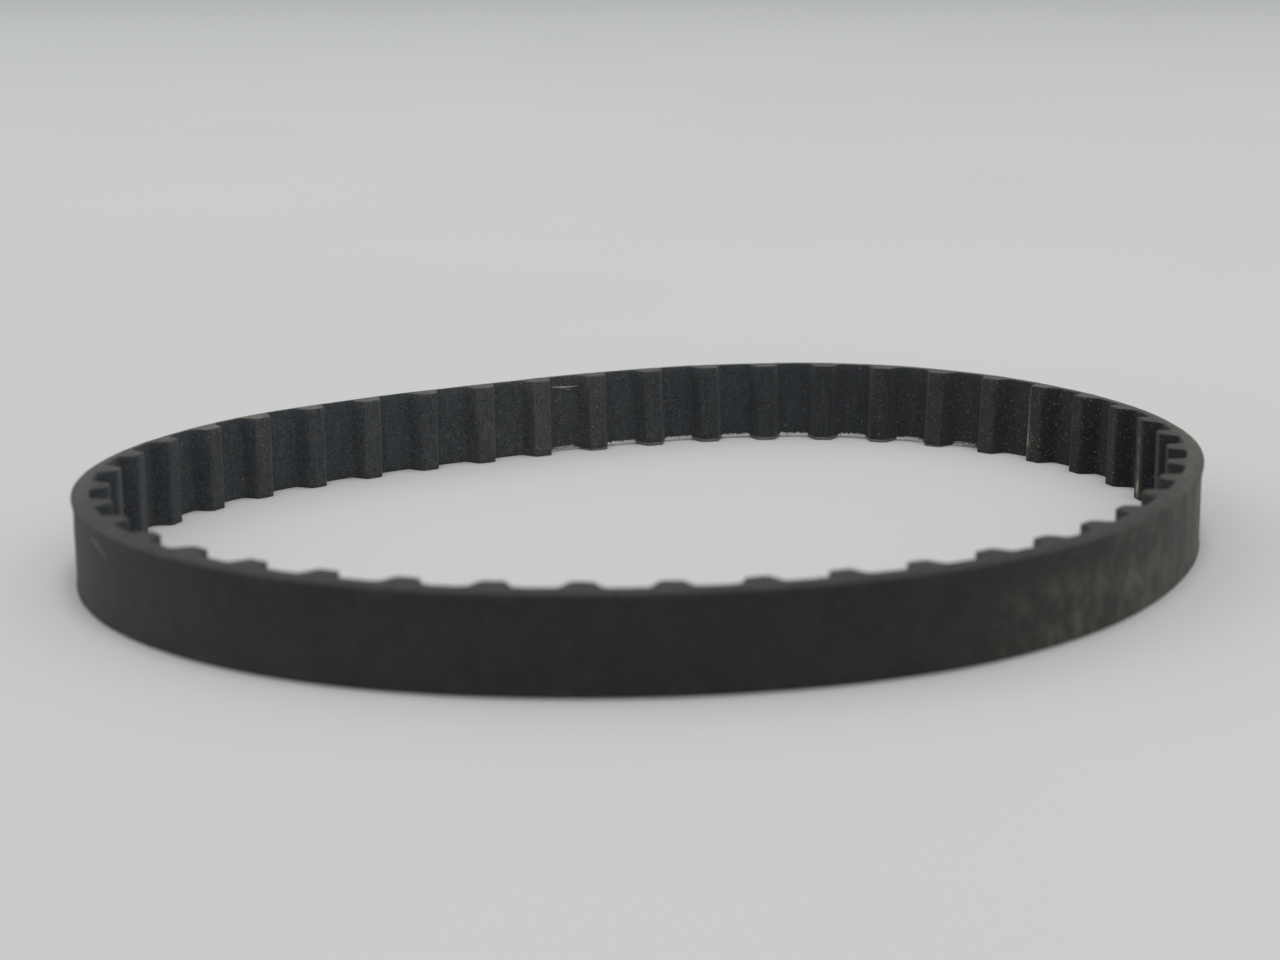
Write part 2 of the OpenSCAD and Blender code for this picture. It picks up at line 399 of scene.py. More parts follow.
def cut_mask(along, depth):
    """Dust, and a patchy pale rim next to the back."""
    tooth = tooth_round(along)
    dust = 0.1 + humps(tooth, (0.75, 23.0, 2.6), (0.3, 18.0, 2.5), (0.15, 2.0, 2.0))
    rim = humps(depth, (1, BACK_DEPTH + 0.04, 0.14)) * within(tooth, 4.5, 7.0, 20.5, 22.5)
    patchy = np.clip(0.66 + 0.8 * line_noise(along, 0.55, 81), 0.15, 1.1)
    pale = (0.6 + 0.2 * smooth(11, 14, tooth)) * rim * patchy
    return np.stack([0 * along, np.clip(dust, 0, 1), pale], -1)


# ---------------------------------------------------------------- mesh building
class Mesh:
    """Collects vertices and faces of one piece, then makes the Blender object."""

    def __init__(self):
        self.points, self.ring, self.lay, self.mask, self.shade = [], [], [], [], []
        self.faces, self.materials = [], []
        self.count = 0

    def add(self, points, ring, lay, mask=None, shade=None):
        """Adds vertices and returns their numbers."""
        size = len(points)
        self.points.append(points)
        self.ring.append(ring)
        self.lay.append(lay)
        self.mask.append(np.zeros((size, 3)) if mask is None else mask)
        self.shade.append(np.ones(size) if shade is None else shade)
        self.count += size
        return np.arange(self.count - size, self.count)

    def row(self, place, z, along, lay=None, mask=None, shade=None):
        """Adds a row of vertices along the belt at place: link, x and depth."""
        link, x, depth = place
        depth = depth + 0.0 * along
        z = z + 0.0 * along
        xy, normal = on_link(link, x, depth)
        lay = np.stack(lay or (along, z), -1)
        points = settle(xy, normal, z, along, depth)
        return self.add(points, ring_place(along, depth, z), lay, mask, shade)

    def face(self, corners, material=0):
        self.faces.append([int(corner) for corner in corners])
        self.materials.append(material)

    def wall(self, rows, materials=0, flip=False):
        """Faces of a closed section swept along the belt. rows: stations by places round the section."""
        here, ahead = rows[:-1], rows[1:]
        quads = np.stack([here, ahead, np.roll(ahead, -1, 1), np.roll(here, -1, 1)], -1).reshape(-1, 4)
        for quad, material in zip(quads, np.broadcast_to(materials, here.shape).ravel()):
            self.face(quad[::-1] if flip else quad, material)

    def ends(self, rows, flip=False):
        self.face(rows[0] if flip else rows[0][::-1])
        self.face(rows[-1][::-1] if flip else rows[-1])

    def solid(self, rows, materials=0, flip=False):
        """Wall and ends from a list of rows along the belt."""
        rows = np.array(rows).T
        self.wall(rows, materials, flip)
        self.ends(rows, flip)

    def make(self, name, materials, sharp=38):
        """The object. sharp: angle in degrees from which an edge is kept sharp."""
        mesh = bpy.data.meshes.new(name)
        mesh.from_pydata((np.concatenate(self.points) * MM).tolist(), [], self.faces)
        mesh.polygons.foreach_set("material_index", np.array(self.materials, np.int32))
        mesh.polygons.foreach_set("use_smooth", np.ones(len(mesh.polygons), bool))
        for title, kind, field, values in (
            ("ring", "FLOAT_VECTOR", "vector", self.ring),
            ("shade", "FLOAT", "value", self.shade),
            ("mask", "FLOAT_VECTOR", "vector", self.mask),
        ):
            layer = mesh.attributes.new(title, kind, "POINT")
            layer.data.foreach_set(field, np.concatenate(values).astype(np.float32).ravel())
        corners = np.zeros(len(mesh.loops), np.int32)
        mesh.loops.foreach_get("vertex_index", corners)
        lay = np.concatenate(self.lay).astype(np.float32)
        mesh.uv_layers.new(name="lay").data.foreach_set("uv", lay[corners].ravel())
        mesh.set_sharp_from_angle(angle=math.radians(sharp))
        for material in materials:
            mesh.materials.append(material)
        made = bpy.data.objects.new(name, mesh)
        bpy.context.scene.collection.objects.link(made)
        return made


def sweep(mesh, place, z, along, radius, taper=1.0, lobes=1, twist=0.0, laid=None, sides=12):
    """A closed tube along the belt, with lobes twisted round it like plied yarn.
    taper: end radius over start radius. laid: length along the yarn, if not along the belt."""
    laid = along if laid is None else laid
    link, x, depth = place
    count = len(along)
    xy, normal = on_link(link, x, depth)
    centre = settle(xy, normal, z, along, depth)
    centre[:, 2] = np.maximum(centre[:, 2], radius)  # stays above the floor
    normal = np.column_stack([normal, np.zeros(count)])
    section = np.linspace(0, TURN, sides, endpoint=False)
    angle = (section[None, :] + twist * laid[:, None])[..., None]
    lobed = 1 - 0.10 * (1 - np.cos(lobes * section)) / 2
    reach = (radius * np.linspace(1, taper, count))[:, None] * lobed[None, :]
    spoke = np.cos(angle) * normal[:, None, :] + np.sin(angle) * np.array([0.0, 0.0, 1.0])
    points = centre[:, None, :] + reach[..., None] * spoke
    ring = np.repeat(ring_place(along, depth, z), sides, axis=0)
    lay = np.stack([np.repeat(laid, sides), np.tile(section / TURN, count)], -1)
    rows = mesh.add(points.reshape(-1, 3), ring, lay).reshape(count, sides)
    here, ahead = rows[:-1], rows[1:]
    quads = np.stack([here, np.roll(here, -1, 1), np.roll(ahead, -1, 1), ahead], -1).reshape(-1, 4)
    for quad in quads:
        mesh.face(quad)
    mesh.ends(rows)


# ---------------------------------------------------------------- materials
class Shader:
    """A material and short ways to add its nodes. Values are numbers, colours or other nodes' outputs."""

    def __init__(self, name):
        self.material = bpy.data.materials.new(name)
        self.material.use_nodes = True
        self.tree = self.material.node_tree
        self.tree.nodes.clear()

    def node(self, kind, inputs=None, **props):
        made = self.tree.nodes.new("ShaderNode" + kind)
        for name, value in props.items():
            setattr(made, name, value)
        for key, value in (inputs or {}).items():
            socket = made.inputs[key]
            if isinstance(value, bpy.types.NodeSocket):
                self.tree.links.new(value, socket)
            else:
                socket.default_value = (*value, 1.0) if socket.type == "RGBA" else value
        return made

    def attribute(self, name, output="Vector"):
        return self.node("Attribute", attribute_name=name).outputs[output]

    @cached_property
    def ring(self):
        return self.attribute("ring")

    @cached_property
    def lay(self):
        return self.node("UVMap", uv_map="lay").outputs[0]

    def parts(self, vector):
        return tuple(self.node("SeparateXYZ", {0: vector}).outputs)

    def masks(self):
        """Wear, dust and pale marks."""
        return self.parts(self.attribute("mask"))

    def maths(self, operation, first, second=0.0, third=None, clamp=False):
        values = (first, second) if third is None else (first, second, third)
        return self.node("Math", dict(enumerate(values)), operation=operation, use_clamp=clamp).outputs[0]

    def times(self, first, second, clamp=False):
        return self.maths("MULTIPLY", first, second, clamp=clamp)

    def linear(self, value, gain, base, clamp=False):
        """value * gain + base"""
        return self.maths("MULTIPLY_ADD", value, gain, base, clamp=clamp)

    def total(self, *weighted):
        """Sum of (value, weight) pairs."""
        terms = [value if weight == 1 else self.times(value, weight) for value, weight in weighted]
        return reduce(lambda first, second: self.maths("ADD", first, second), terms)

    def grain(self, scale, seed, detail=3, roughness=0.6, stretch=None, place=None):
        """Cloudy noise, read on the true circle unless a place is given."""
        place = place or self.ring
        if stretch:
            place = self.node("VectorMath", {0: place, 1: stretch}, operation="MULTIPLY").outputs[0]
        inputs = {"Vector": place, "W": seed, "Scale": scale, "Detail": detail, "Roughness": roughness}
        return self.node("TexNoise", inputs, noise_dimensions="4D").outputs["Fac"]

    def ramp(self, value, over, to=(0.0, 1.0)):
        """Eases from to[0] to to[1] as value goes over its range."""
        inputs = {"Value": value, "From Min": over[0], "From Max": over[1], "To Min": to[0], "To Max": to[1]}
        return self.node("MapRange", inputs, interpolation_type="SMOOTHSTEP").outputs[0]

    def mix(self, share, base, over, strength=None):
        """base with the colour over laid on it, by share times strength."""
        if strength is not None:
            share = self.times(share, strength)
        return self.node("Mix", {0: share, 6: base, 7: over}, data_type="RGBA").outputs[2]

    def specks(self, scale, size, keep, seed):
        """1 in a small grain, 0 outside. keep is the share of cells that hold one."""
        inputs = {"Vector": self.ring, "W": seed, "Scale": scale}
        cells = self.node("TexVoronoi", inputs, voronoi_dimensions="4D")
        near = self.ramp(cells.outputs["Distance"], over=(size, size * 0.45))
        pick = self.node("SeparateColor", {0: cells.outputs["Color"]}).outputs[0]
        return self.times(near, self.maths("LESS_THAN", pick, keep))

    def shaded(self, colour, by=None):
        """colour made brighter or darker, by the mesh's own shade if nothing else is given."""
        by = by or self.attribute("shade", "Fac")
        return self.node("VectorMath", {0: colour, "Scale": by}, operation="SCALE").outputs[0]

    def surface(self, colour, roughness, specular, sheen=0.0, height=None, relief=0.0):
        """The finished material. relief: millimetres that a height of 1 stands up."""
        inputs = {
            "Base Color": colour,
            "Roughness": roughness,
            "Specular IOR Level": specular,
            "Sheen Weight": sheen,
            "Sheen Roughness": 0.5,
        }
        if height is not None:
            bump = {"Height": height, "Distance": relief * MM, "Strength": 1.0}
            inputs["Normal"] = self.node("Bump", bump).outputs[0]
        self.node("OutputMaterial", {0: self.node("BsdfPrincipled", inputs).outputs[0]})
        return self.material


def rubber_back():
    """Ground back of the belt, with a smeared film of dust."""
    mat = Shader("ground_rubber_back")
    _, dust, pale = mat.masks()
    cloud = mat.grain(scale=0.28, detail=5, seed=1)
    mottle = mat.grain(scale=1.5, detail=6, roughness=0.62, seed=2)
    fine = mat.grain(scale=9, detail=4, seed=3)
    lines = mat.grain(place=mat.lay, stretch=(0.25, 14.0, 1.0), scale=1.0, roughness=0.5, seed=4)
    smear = mat.grain(stretch=(1.0, 1.0, 0.42), scale=1.1, detail=6, roughness=0.62, seed=5)
    patches = mat.grain(scale=0.75, detail=5, roughness=0.65, seed=6)
    black, lighter = (0.0123, 0.0125, 0.0131), (0.0163, 0.0165, 0.0166)
    base = mat.mix(mat.ramp(cloud, over=(0.35, 0.65)), black, lighter)
    base = mat.mix(mat.ramp(mottle, over=(0.42, 0.72), to=(0.0, 0.55)), base, over=(0.026, 0.0255, 0.0245))
    # the mesh's shade: brightness by tooth, partly painted shade
    base = mat.shaded(base)
    film = mat.times(dust, mat.ramp(smear, over=(0.36, 0.66), to=(0.25, 1.0)), clamp=True)
    film = mat.times(film, mat.ramp(patches, over=(0.36, 0.64), to=(0.2, 1.35)), clamp=True)
    film = mat.times(film, mat.ramp(fine, over=(0.3, 0.7), to=(0.7, 1.0)))
    base = mat.mix(film, base, over=(0.114, 0.107, 0.066))
    bits = mat.specks(scale=3.2, size=0.22, keep=0.10, seed=1)
    base = mat.mix(bits, base, over=(0.13, 0.125, 0.11), strength=0.35)
    marks = mat.times(pale, mat.ramp(fine, over=(0.3, 0.6), to=(0.5, 1.0)))
    base = mat.mix(marks, base, over=(0.36, 0.34, 0.29))
    height = mat.total((fine, 0.6), (lines, 0.35), (mottle, 0.7))
    return mat.surface(base, roughness=0.72, specular=0.32, sheen=0.04, height=height, relief=0.022)


def rubber_cut():
    """Knife-cut edge: greyer than the moulded faces, with drag lines and caught dust."""
    mat = Shader("cut_rubber_edge")
    _, dust, pale = mat.masks()
    cloud = mat.grain(scale=0.5, detail=4, seed=11)
    fine = mat.grain(scale=7, detail=4, roughness=0.65, seed=12)
    drag = mat.grain(place=mat.lay, stretch=(0.6, 9.0, 1.0), scale=1.0, seed=13)
    patches = mat.grain(scale=1.7, detail=6, roughness=0.7, seed=14)
    dark, grey = (0.02, 0.0204, 0.02), (0.036, 0.0362, 0.035)
    base = mat.mix(mat.ramp(cloud, over=(0.35, 0.65)), dark, grey)
    base = mat.mix(mat.ramp(fine, over=(0.48, 0.72), to=(0.0, 0.65)), base, over=(0.1, 0.098, 0.09))
    film = mat.times(dust, mat.ramp(fine, over=(0.35, 0.6), to=(0.5, 1.0)), clamp=True)
    base = mat.mix(film, base, over=(0.1, 0.09, 0.06))
    bits = mat.specks(scale=4.5, size=0.25, keep=0.2, seed=11)
    base = mat.mix(bits, base, over=(0.2, 0.195, 0.17), strength=0.5)
    # uneven brightness, stronger where it is dusty
    uneven = mat.ramp(patches, over=(0.36, 0.64), to=(-0.5, 0.5))
    contrast = mat.linear(dust, gain=0.8, base=0.45, clamp=True)
    base = mat.shaded(base, mat.linear(uneven, gain=contrast, base=1.0))
    base = mat.shaded(base)
    base = mat.mix(pale, base, over=(0.23, 0.245, 0.125))
    height = mat.total((drag, 0.8), (fine, 1))
    return mat.surface(base, roughness=0.78, specular=0.3, sheen=0.05, height=height, relief=0.03)


WARP = 32  # threads of the facing cloth in one pitch, measured along the surface
WEFT_MM = 0.17


def facing_cloth():
    """Woven nylon over teeth and lands, soaked in black rubber, dusty in the weave, rubbed pale on the tips."""
    mat = Shader("nylon_tooth_facing")
    wear, dust, pale = mat.masks()
    arc, across, _ = mat.parts(mat.lay)
    # weave: ribs both ways and a diagonal across them
    warp = mat.times(arc, WARP / CONTOUR_PITCH * TURN)
    weft = mat.times(across, TURN / WEFT_MM)
    diagonal = mat.maths("SINE", mat.total((warp, 0.5), (weft, 0.5)))
    warp_rib = mat.maths("ABSOLUTE", mat.maths("SINE", warp))
    weft_rib = mat.maths("ABSOLUTE", mat.maths("SINE", weft))
    weave = mat.total((warp_rib, 0.5), (weft_rib, 0.35), (diagonal, 0.3))
    cloud = mat.grain(scale=0.4, detail=4, seed=21)
    mottle = mat.grain(scale=1.9, detail=5, roughness=0.62, seed=22)
    fine = mat.grain(scale=10, seed=23)
    streak = mat.grain(stretch=(1.0, 1.0, 0.07), scale=5.0, seed=25)
    nubs = mat.grain(scale=6.2, detail=1, roughness=0.5, seed=26)
    scrape = mat.grain(stretch=(1.0, 1.0, 0.5), scale=4.5, seed=27)
    dark, lighter = (0.0255, 0.0294, 0.034), (0.031, 0.035, 0.04)
    base = mat.mix(mat.ramp(cloud, over=(0.35, 0.65)), dark, lighter)
    base = mat.mix(mat.ramp(mottle, over=(0.5, 0.75), to=(0.0, 0.6)), base, over=(0.042, 0.0455, 0.048))
    base = mat.mix(mat.ramp(weave, over=(0.2, 1.1), to=(0.0, 0.3)), base, over=(0.046, 0.05, 0.054))
    # distance along the surface from the nearest tooth's middle, then 1 on its tip
    from_land = mat.maths("ABSOLUTE", mat.maths("SUBTRACT", arc, CONTOUR_PITCH / 2))
    from_tip = mat.maths("ABSOLUTE", mat.maths("SUBTRACT", from_land, CONTOUR_PITCH / 2))
    tip = mat.ramp(from_tip, over=(1.1, 0.6))
    # streaks up the width, stronger on the tips
    streaks = mat.maths("SUBTRACT", mat.ramp(streak, over=(0.36, 0.64)), 0.5)
    contrast = mat.linear(tip, gain=0.26, base=0.2)
    base = mat.shaded(base, mat.linear(streaks, gain=contrast, base=1.0))
    base = mat.shaded(base, mat.linear(tip, gain=-0.12, base=1.0))
    base = mat.shaded(base, mat.ramp(fine, over=(0.34, 0.66), to=(0.64, 1.36)))
    base = mat.shaded(base, mat.ramp(nubs, over=(0.36, 0.64), to=(0.72, 1.28)))
    rub = mat.times(wear, mat.ramp(fine, over=(0.42, 0.6), to=(0.12, 1.0)), clamp=True)
    rub = mat.times(rub, mat.ramp(mottle, over=(0.3, 0.6), to=(0.5, 1.0)))
    base = mat.mix(rub, base, over=(0.112, 0.107, 0.096))
    film = mat.times(dust, mat.ramp(mottle, over=(0.35, 0.65), to=(0.1, 0.6)), clamp=True)
    base = mat.mix(film, base, over=(0.12, 0.115, 0.1), strength=0.35)
    # the mesh's shade: brightness by tooth, partly painted light and shade
    base = mat.shaded(base)
    # four sizes of caught grains, more of them where it is dusty
    grit = mat.specks(scale=5.2, size=0.34, keep=0.26, seed=24)
    grit = mat.times(grit, mat.linear(dust, gain=0.42, base=0.2), clamp=True)
    base = mat.mix(grit, base, over=(0.12, 0.113, 0.088))
    bits = mat.specks(scale=3.4, size=0.26, keep=mat.linear(dust, gain=0.36, base=0.06), seed=21)
    base = mat.mix(bits, base, over=(0.27, 0.245, 0.175), strength=0.72)
    dots = mat.specks(scale=6.5, size=0.46, keep=mat.linear(dust, gain=0.5, base=-0.05), seed=28)
    base = mat.mix(dots, base, over=(0.19, 0.175, 0.125), strength=0.6)
    crumbs = mat.specks(scale=1.25, size=0.11, keep=mat.linear(dust, gain=0.25, base=0.03), seed=22)
    base = mat.mix(crumbs, base, over=(0.42, 0.40, 0.34), strength=0.8)
    marks = mat.times(pale, mat.ramp(scrape, over=(0.42, 0.6), to=(0.15, 1.15)), clamp=True)
    base = mat.mix(marks, base, over=(0.4, 0.345, 0.24))
    height = mat.total((weave, 1), (fine, 0.8), (streak, 0.8), (bits, 1.2))
    return mat.surface(base, roughness=0.78, specular=0.28, sheen=0.06, height=height, relief=0.02)


def glass_cord(name, lean):
    """Twisted glass-fibre cord with its amber bonding dip. lean: 1 or -1, the way of the twist."""
    mat = Shader(name)
    laid, about, _ = mat.parts(mat.lay)
    strands = mat.maths("SINE", mat.total((laid, 7.5 * lean), (about, 3 * TURN)))
    fibres = mat.grain(place=mat.lay, stretch=(1.5, 30.0, 1.0), scale=1.0, seed=31)
    amber, straw = (0.34, 0.27, 0.17), (0.68, 0.64, 0.52)
    base = mat.mix(mat.ramp(strands, over=(-0.6, 0.6)), amber, straw)
    base = mat.mix(mat.ramp(fibres, over=(0.35, 0.7), to=(0.0, 0.6)), base, over=(0.8, 0.78, 0.7))
    return mat.surface(base, roughness=0.55, specular=0.45)


def frayed_fibre():
    """Broken glass filaments at the cut: near white and matt."""
    mat = Shader("frayed_glass_fibre")
    fine = mat.grain(scale=12, seed=41)
    cloud = mat.grain(scale=1.3, seed=42)
    base = mat.mix(mat.ramp(fine, over=(0.35, 0.7)), (0.5, 0.5, 0.485), (0.82, 0.82, 0.8))
    base = mat.mix(mat.ramp(cloud, over=(0.6, 0.85), to=(0.0, 0.5)), base, over=(0.2, 0.19, 0.17))
    return mat.surface(base, roughness=0.85, specular=0.3)


def scuffed_cloth():
    """Nylon scraped bare: tan, matt."""
    mat = Shader("scuffed_nylon")
    fine = mat.grain(scale=11, seed=61)
    base = mat.mix(mat.ramp(fine, over=(0.35, 0.65)), (0.19, 0.178, 0.145), (0.38, 0.36, 0.31))
    return mat.surface(base, roughness=0.85, specular=0.2)


def torn_rubber():
    """Fresh tear: brownish grey, dull, dusty."""
    mat = Shader("torn_rubber")
    fine = mat.grain(scale=6, detail=4, seed=71)
    cloud = mat.grain(scale=1.1, seed=72)
    base = mat.mix(mat.ramp(fine, over=(0.35, 0.7)), (0.11, 0.103, 0.092), (0.2, 0.192, 0.175))
    base = mat.mix(mat.ramp(cloud, over=(0.5, 0.8), to=(0.0, 0.5)), base, over=(0.06, 0.058, 0.055))
    base = mat.shaded(base)
    return mat.surface(base, roughness=0.9, specular=0.2)


M_LIP = torn_rubber()
M_SCUFF = scuffed_cloth()
M_BACK, M_CUT, M_FACING = rubber_back(), rubber_cut(), facing_cloth()
M_CORD_S, M_CORD_Z = glass_cord("glass_cord_s_twist", 1), glass_cord("glass_cord_z_twist", -1)
M_FRAY = frayed_fibre()


# ---------------------------------------------------------------- rubber
EDGE_R = 0.07
# the space that the cords lie in
SLOT_DEPTHS = (-0.165, 0.148)
SLOT_Z = (EDGE_RUBBER, WIDTH - EDGE_RUBBER)
SLOT_COLUMNS = 6


def rubber_section():
    """(face, term, z) round the section: up the back, over the top, down the cloth side and back below.
    term: millimetres in from the back, or on an edge the share of the way from its rounding to the cloth."""
    rounding = [
        (EDGE_R * (1 - math.cos(angle)), EDGE_R * math.sin(angle)) for angle in np.radians((30, 60, 90))
    ]
    section = [("back", 0.0, z) for z in np.linspace(EDGE_R, WIDTH - EDGE_R, 14)]
    section += [("back", term, WIDTH - EDGE_R + rise) for term, rise in rounding]
    section += [("edge", share, WIDTH) for share in (0.06, 0.14, 0.3, 0.5, 0.75)]
    section += [("cloth", 0, z) for z in np.linspace(WIDTH, 0, 9)]
    section += [("edge", share, 0.0) for share in (0.75, 0.5, 0.25)]
    section += [("back", term, EDGE_R - rise) for term, rise in rounding[::-1]]
    return section


RUBBER_SECTION = rubber_section()


def is_cut(face, z):
    """Whether a place of the rubber's section lies on a cut edge."""
    if face == "back":
        return z > WIDTH - 0.5 * EDGE_R or z < 0.5 * EDGE_R
    return face == "edge" or z in (0.0, WIDTH)


def nearest_slot(face, term, z):
    """Number of the place round the cord space that faces a place of the section."""
    low, high = SLOT_Z
    last = SLOT_COLUMNS - 1
    column = int(np.clip(round((z - low) / (high - low) * last), 0, last))
    outer = face == "back" or (face == "edge" and term < 0.5)
    return column if outer else 2 * SLOT_COLUMNS - 1 - column


def rubber_piece(piece):
    mesh = Mesh()
    link, x, cloth_depth = stations(piece, FACING)
    along = along_of(piece)
    rows = []
    for face, term, z in RUBBER_SECTION:
        if face == "back":
            depth = np.full(STATION_COUNT, BACK_DEPTH + term)
        elif face == "edge":
            depth = BACK_DEPTH + EDGE_R + (cloth_depth - BACK_DEPTH - EDGE_R) * term
        else:
            depth = cloth_depth
        if is_cut(face, z):
            looks = {"lay": (along, depth), "mask": cut_mask(along, depth), "shade": cut_shade(along, depth)}
        else:
            # brightness of the back by tooth, partly painted shade
            looks = {"mask": back_mask(along, z), "shade": by_tooth(BACK_TONE_AND_PAINTED_SHADE, along)}
        rows.append(mesh.row((link, x, depth), z, along, **looks))
    rows = np.array(rows).T
    following = RUBBER_SECTION[1:] + RUBBER_SECTION[:1]
    materials = [
        int((is_cut(face, z) and is_cut(face2, z2)) or "edge" in (face, face2))
        for (face, _, z), (face2, _, z2) in zip(RUBBER_SECTION, following)
    ]
    mesh.wall(rows, materials, flip=True)

    columns = np.linspace(*SLOT_Z, SLOT_COLUMNS)
    places = [(SLOT_DEPTHS[0], z) for z in columns] + [(SLOT_DEPTHS[1], z) for z in columns[::-1]]
    slot = np.array([mesh.row((link, x, depth), z, along) for depth, z in places]).T
    mesh.wall(slot)

    # end faces between the section and the cord space
    nearest = [nearest_slot(*place) for place in RUBBER_SECTION]
    for row, slot_row, order in ((rows[0], slot[0], 1), (rows[-1], slot[-1], -1)):
        for n in range(len(nearest)):
            after = (n + 1) % len(nearest)
            path = [nearest[n]]
            while path[-1] != nearest[after]:
                path.append((path[-1] + 1) % len(places))
            corners = [row[after], row[n]] + [slot_row[p] for p in path]
            mesh.face(corners[::order])
    return mesh.make(f"rubber_{piece:02d}", [M_BACK, M_CUT])


# ---------------------------------------------------------------- cloth facing
CLOTH_R = 0.035
FINE_PIECES = (16, 17, 19, 20)  # these carry the worn marks and need more rows


def facing_piece(piece):
    mesh = Mesh()
    along = along_of(piece)
    foot = rag(along)
    drop = 0.012 + 0.03 * line_noise(along, 1.9, 71) + 0.02 * line_noise(along, 6.5, 72)
    top = WIDTH - np.clip(drop, 0, 0.05)
    rows, on_cut = [], []

    def add_row(skin, z, cut=False, counts_as_cut=False):
        place = stations(piece, skin)
        depth = place[2]
        if cut:
            mask, shade = cut_mask(along, depth), cut_shade(along, depth)
        else:
            # brightness of the cloth by tooth, partly painted light and shade
            mask, shade = facing_mask(along, z), by_tooth(CLOTH_TONE_AND_PAINTED_SHADE, along)
        rows.append(mesh.row(place, z, along, lay=(ARC, z), mask=mask, shade=shade))
        on_cut.append(cut or counts_as_cut)

    def rounded_skin(angle):
        return round(CLOTH_R * (1 - math.cos(angle)), 5)

    low = foot + CLOTH_R
    for share in np.linspace(0, 1, 47 if piece in FINE_PIECES else 15):
        add_row(0.0, low + (top - CLOTH_R - low) * share)
    for angle in np.radians((45, 90)):
        add_row(rounded_skin(angle), top - CLOTH_R + CLOTH_R * math.sin(angle), cut=True)
    for share in np.linspace(1, 0, 6):
        add_row(FACING, foot * (1 - share) + top * share, counts_as_cut=share == 1)
    for angle in np.radians((90, 45)):
        add_row(rounded_skin(angle), foot + CLOTH_R * (1 - math.sin(angle)), cut=True)
    materials = [int(cut and after) for cut, after in zip(on_cut, on_cut[1:] + on_cut[:1])]
    mesh.solid(rows, materials)
    return mesh.make(f"facing_{piece:02d}", [M_FACING, M_CUT])


# ---------------------------------------------------------------- tensile cords
LEAD = 2 * CORD_SPACE  # the cords climb this much in one round
CORD_LOW = EDGE_RUBBER + CORD_D / 2 + 0.06
CORD_TURNS = math.floor((WIDTH - 2 * CORD_LOW - CORD_SPACE) / LEAD * 3 * TEETH) / (3 * TEETH)
CORD_STEP = 1 / 20  # in pitches


def cord_piece(piece, name, first_z, lean, material):
    """The stretches of one helical cord that pass through a piece, one for each round."""
    mesh = Mesh()
    gap = CORD_OPEN_GAP if piece == OPEN_AFTER else 0
    for lap in range(-1, 5):
        start = max(0.0, TEETH * lap + piece - 0.5)
        end = min(CORD_TURNS * TEETH, TEETH * lap + piece + 0.5 - gap)
        if end - start < 0.02:
            continue
        steps = np.arange(math.ceil(start / CORD_STEP) * CORD_STEP, end, CORD_STEP)
        total = np.unique(np.concatenate([[start, end], steps]))
        total = total[np.diff(total, prepend=-9) > 1e-4]
        place = total - TEETH * lap
        link, x = locate(place)
        sweep(
            mesh,
            (link, x, np.zeros(len(x))),
            z=first_z + LEAD * total / TEETH,
            along=(place - 0.5) * PITCH,
            radius=CORD_D / 2,
            lobes=3,
            twist=2.6 * lean,
            laid=total * PITCH,
        )
    return mesh.make(f"{name}_{piece:02d}", [material], sharp=60)


# ---------------------------------------------------------------- damage
def lip_piece(piece):
    """Thin flap of rubber left standing along the foot of the belt, under the torn cloth."""
    along = along_of(piece)
    if torn(along).max() < 0.05:
        return None
    mesh = Mesh()
    high = np.maximum(lip_height(along), 0.004)
    sunk = 0.06 * (1 - smooth(0.0, 0.12, torn(along)))
    rows = []
    # skin inside the tooth side, share of the height
    for skin, share in ((0.11, 0.0), (-0.015, 0.06), (-0.03, 0.35), (-0.02, 0.75), (0.03, 0.97), (0.11, 1.06)):
        link, x, depth = stations(piece, skin)
        z = 0.004 + high * share
        rows.append(mesh.row((link, x, depth - sunk), z, along, lay=(ARC, z), shade=0.8 + 1.5 * on_land(along)))
    mesh.solid(rows)
    return mesh.make(f"torn_lip_{piece:02d}", [M_LIP], sharp=50)


def fray_band(mesh, piece, along, low, top):
    """A pale band of filaments, as wide as the gap between lip and cloth."""
    rows = []
    # share of the height, distance out from the tooth side
    for share, out in ((0.0, -0.06), (0.05, -0.015), (0.35, 0.0), (0.65, -0.01), (0.95, -0.035), (1.1, -0.07)):
        z = low + np.maximum(top + 0.03 - low, 0.03) * share
        wobble = 0.016 * value_noise(np.stack([along * 4, z * 9, 0 * z + piece], -1), 1.0, 51)
        rows.append(mesh.row(tooth_side(along, out + wobble), z, along))
    rows.append(mesh.row(tooth_side(along, -0.09), low, along))
    mesh.solid(rows)


def filament(mesh, rng, start, end, long):
    """One loose filament lying between start and end, or a short one standing out."""
    if long:
        length = (end - start) * (0.4 + 0.5 * rng.random())
        radius = 0.011 + 0.007 * rng.random()
    else:
        length = 0.15 + 0.45 * rng.random()
        radius = 0.006 + 0.006 * rng.random()
    first = start + (end - start - length * 0.7) * rng.random()
    count = max(4, int(length / 0.05))
    share = np.linspace(0, 1, count)
    along = np.linspace(first, min(first + length, end + 0.04), count)
    foot = 0.1 + 0.24 * rng.random()
    rise = (rng.random() - 0.4) * (0.1 if long else 0.3)
    z = foot + rise * share**2 + np.cumsum(rng.normal(0, 0.008, count))
    out = (0.0 if long else 0.02) + 0.05 * rng.random() + np.cumsum(rng.normal(0, 0.006, count))
    if not long:
        out = out + 0.1 * rng.random() * share
    place = tooth_side(along, np.maximum(out, -0.02))
    sweep(mesh, place, np.clip(z, radius + 0.004, 0.55), along, radius, taper=0.6, sides=5)


